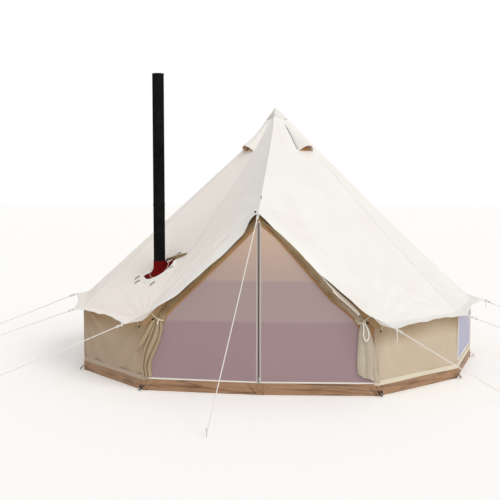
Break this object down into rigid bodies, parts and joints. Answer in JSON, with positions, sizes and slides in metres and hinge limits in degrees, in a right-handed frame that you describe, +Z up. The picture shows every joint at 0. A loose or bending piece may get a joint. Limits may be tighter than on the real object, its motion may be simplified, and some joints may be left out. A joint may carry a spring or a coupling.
{
  "type": "hot tent",
  "caption": "Bell-shaped canvas hot tent with low walls, a mesh doorway under an awning, a stove with its pipe through a roof jack, and guy ropes to pegs.",
  "frame": {"origin": "on the ground, under the centre pole, at the underside of the groundsheet", "axes": "+Z up, -Y out of the doorway, +X to the right of someone who faces the doorway from outside"},
  "size_m": [6.9963, 5.154, 2.74],
  "materials": {
    "roof_canvas": "matt cotton canvas, off-white",
    "trim_canvas": "doubled cotton canvas, off-white",
    "wall_canvas": "matt cotton canvas, light tan",
    "groundsheet": "coated woven groundsheet, brown",
    "door_mesh": "fine insect mesh, mauve-grey",
    "window_mesh": "fine insect mesh, lavender-grey",
    "pole_steel": "galvanised steel tube",
    "pole_foot": "black rubber",
    "zip_metal": "cast zip slider",
    "jack_cloth": "coated glass-fibre cloth, dark red",
    "stove_steel": "heat-proof black paint",
    "stove_pipe": "heat-proof black paint, matt",
    "guy_rope": "white twisted rope",
    "peg_steel": "zinc-plated steel"
  },
  "bodies": {
    "root": {"centre_pole_lower": "pole_steel", "centre_pole_upper": "pole_steel", "door_leaf_left": "wall_canvas", "door_leaf_right": "wall_canvas", "door_pole_apex": "pole_steel", "door_pole_left": "pole_steel", "door_pole_right": "pole_steel", "groundsheet_floor": "groundsheet", "groundsheet_rim": "groundsheet", "guy_rope_front": "guy_rope", "guy_rope_left_1": "guy_rope", "guy_rope_left_2": "guy_rope", "guy_rope_left_3": "guy_rope", "guy_rope_right_1": "guy_rope", "guy_rope_right_2": "guy_rope", "guy_rope_right_3": "guy_rope", "guy_rope_right_4": "guy_rope", "peak_cap": "trim_canvas", "peg_front": "peg_steel", "peg_left_1": "peg_steel", "peg_left_2": "peg_steel", "peg_left_3": "peg_steel", "peg_right_1": "peg_steel", "peg_right_2": "peg_steel", "peg_right_3": "peg_steel", "peg_right_4": "peg_steel", "pole_foot": "pole_foot", "roof_front_left": "roof_canvas", "roof_front_right": "roof_canvas", "roof_left_1": "roof_canvas", "roof_left_2": "roof_canvas", "roof_left_3": "roof_canvas", "roof_left_4": "roof_canvas", "roof_left_5": "roof_canvas", "roof_right_1": "roof_canvas", "roof_right_2": "roof_canvas", "roof_right_3": "roof_canvas", "roof_right_4": "roof_canvas", "roof_right_5": "roof_canvas", "stove_body": "stove_steel", "stove_jack": "jack_cloth", "stove_pipe_lower": "stove_pipe", "stove_pipe_upper": "stove_pipe", "vent_hood_left": "trim_canvas", "vent_hood_right": "trim_canvas", "wall_back": "wall_canvas", "wall_left_front": "wall_canvas", "wall_left_rear": "wall_canvas", "wall_left_window": "wall_canvas", "wall_right_front": "wall_canvas", "wall_right_rear": "wall_canvas", "wall_right_window": "wall_canvas", "window_mesh_left": "window_mesh", "window_mesh_right": "window_mesh"},
    "mesh_door_left": {"mesh_door_left": "door_mesh"},
    "mesh_door_right": {"mesh_door_right": "door_mesh"},
    "zip_slider": {"door_zip_slider": "zip_metal"},
    "rain_flap": {"jack_rain_flap": "roof_canvas"},
    "stove_door": {"stove_door": "stove_steel"},
    "damper": {"pipe_damper": "stove_steel"}
  },
  "joints": [
    {"name": "mesh_door_left_hinge", "type": "hinge", "parent": "root", "child": "mesh_door_left", "pos_m": [-0.9563, -1.73422, 0.7], "axis": [0, 0, 1], "range_deg": [0, 60]},
    {"name": "mesh_door_right_hinge", "type": "hinge", "parent": "root", "child": "mesh_door_right", "pos_m": [0.9563, -1.73422, 0.7], "axis": [0, 0, -1], "range_deg": [0, 60]},
    {"name": "zip_slide", "type": "slide", "parent": "mesh_door_right", "child": "zip_slider", "axis": [0, 0, 1], "range_m": [0, 1.26]},
    {"name": "rain_flap_fold", "type": "hinge", "parent": "root", "child": "rain_flap", "pos_m": [-0.97703, -1.11307, 1.02923], "axis": [0.8629, -0.1163, 0.4919], "range_deg": [0, 40]},
    {"name": "stove_door_hinge", "type": "hinge", "parent": "root", "child": "stove_door", "pos_m": [-1.24177, -1.03914, 0.2923], "axis": [0, 0, 1], "range_deg": [0, 110]},
    {"name": "damper_turn", "type": "hinge", "parent": "root", "child": "damper", "pos_m": [-0.96189, -1.18467, 0.62], "axis": [0, 1, 0], "range_deg": [0, 90]}
  ]
}
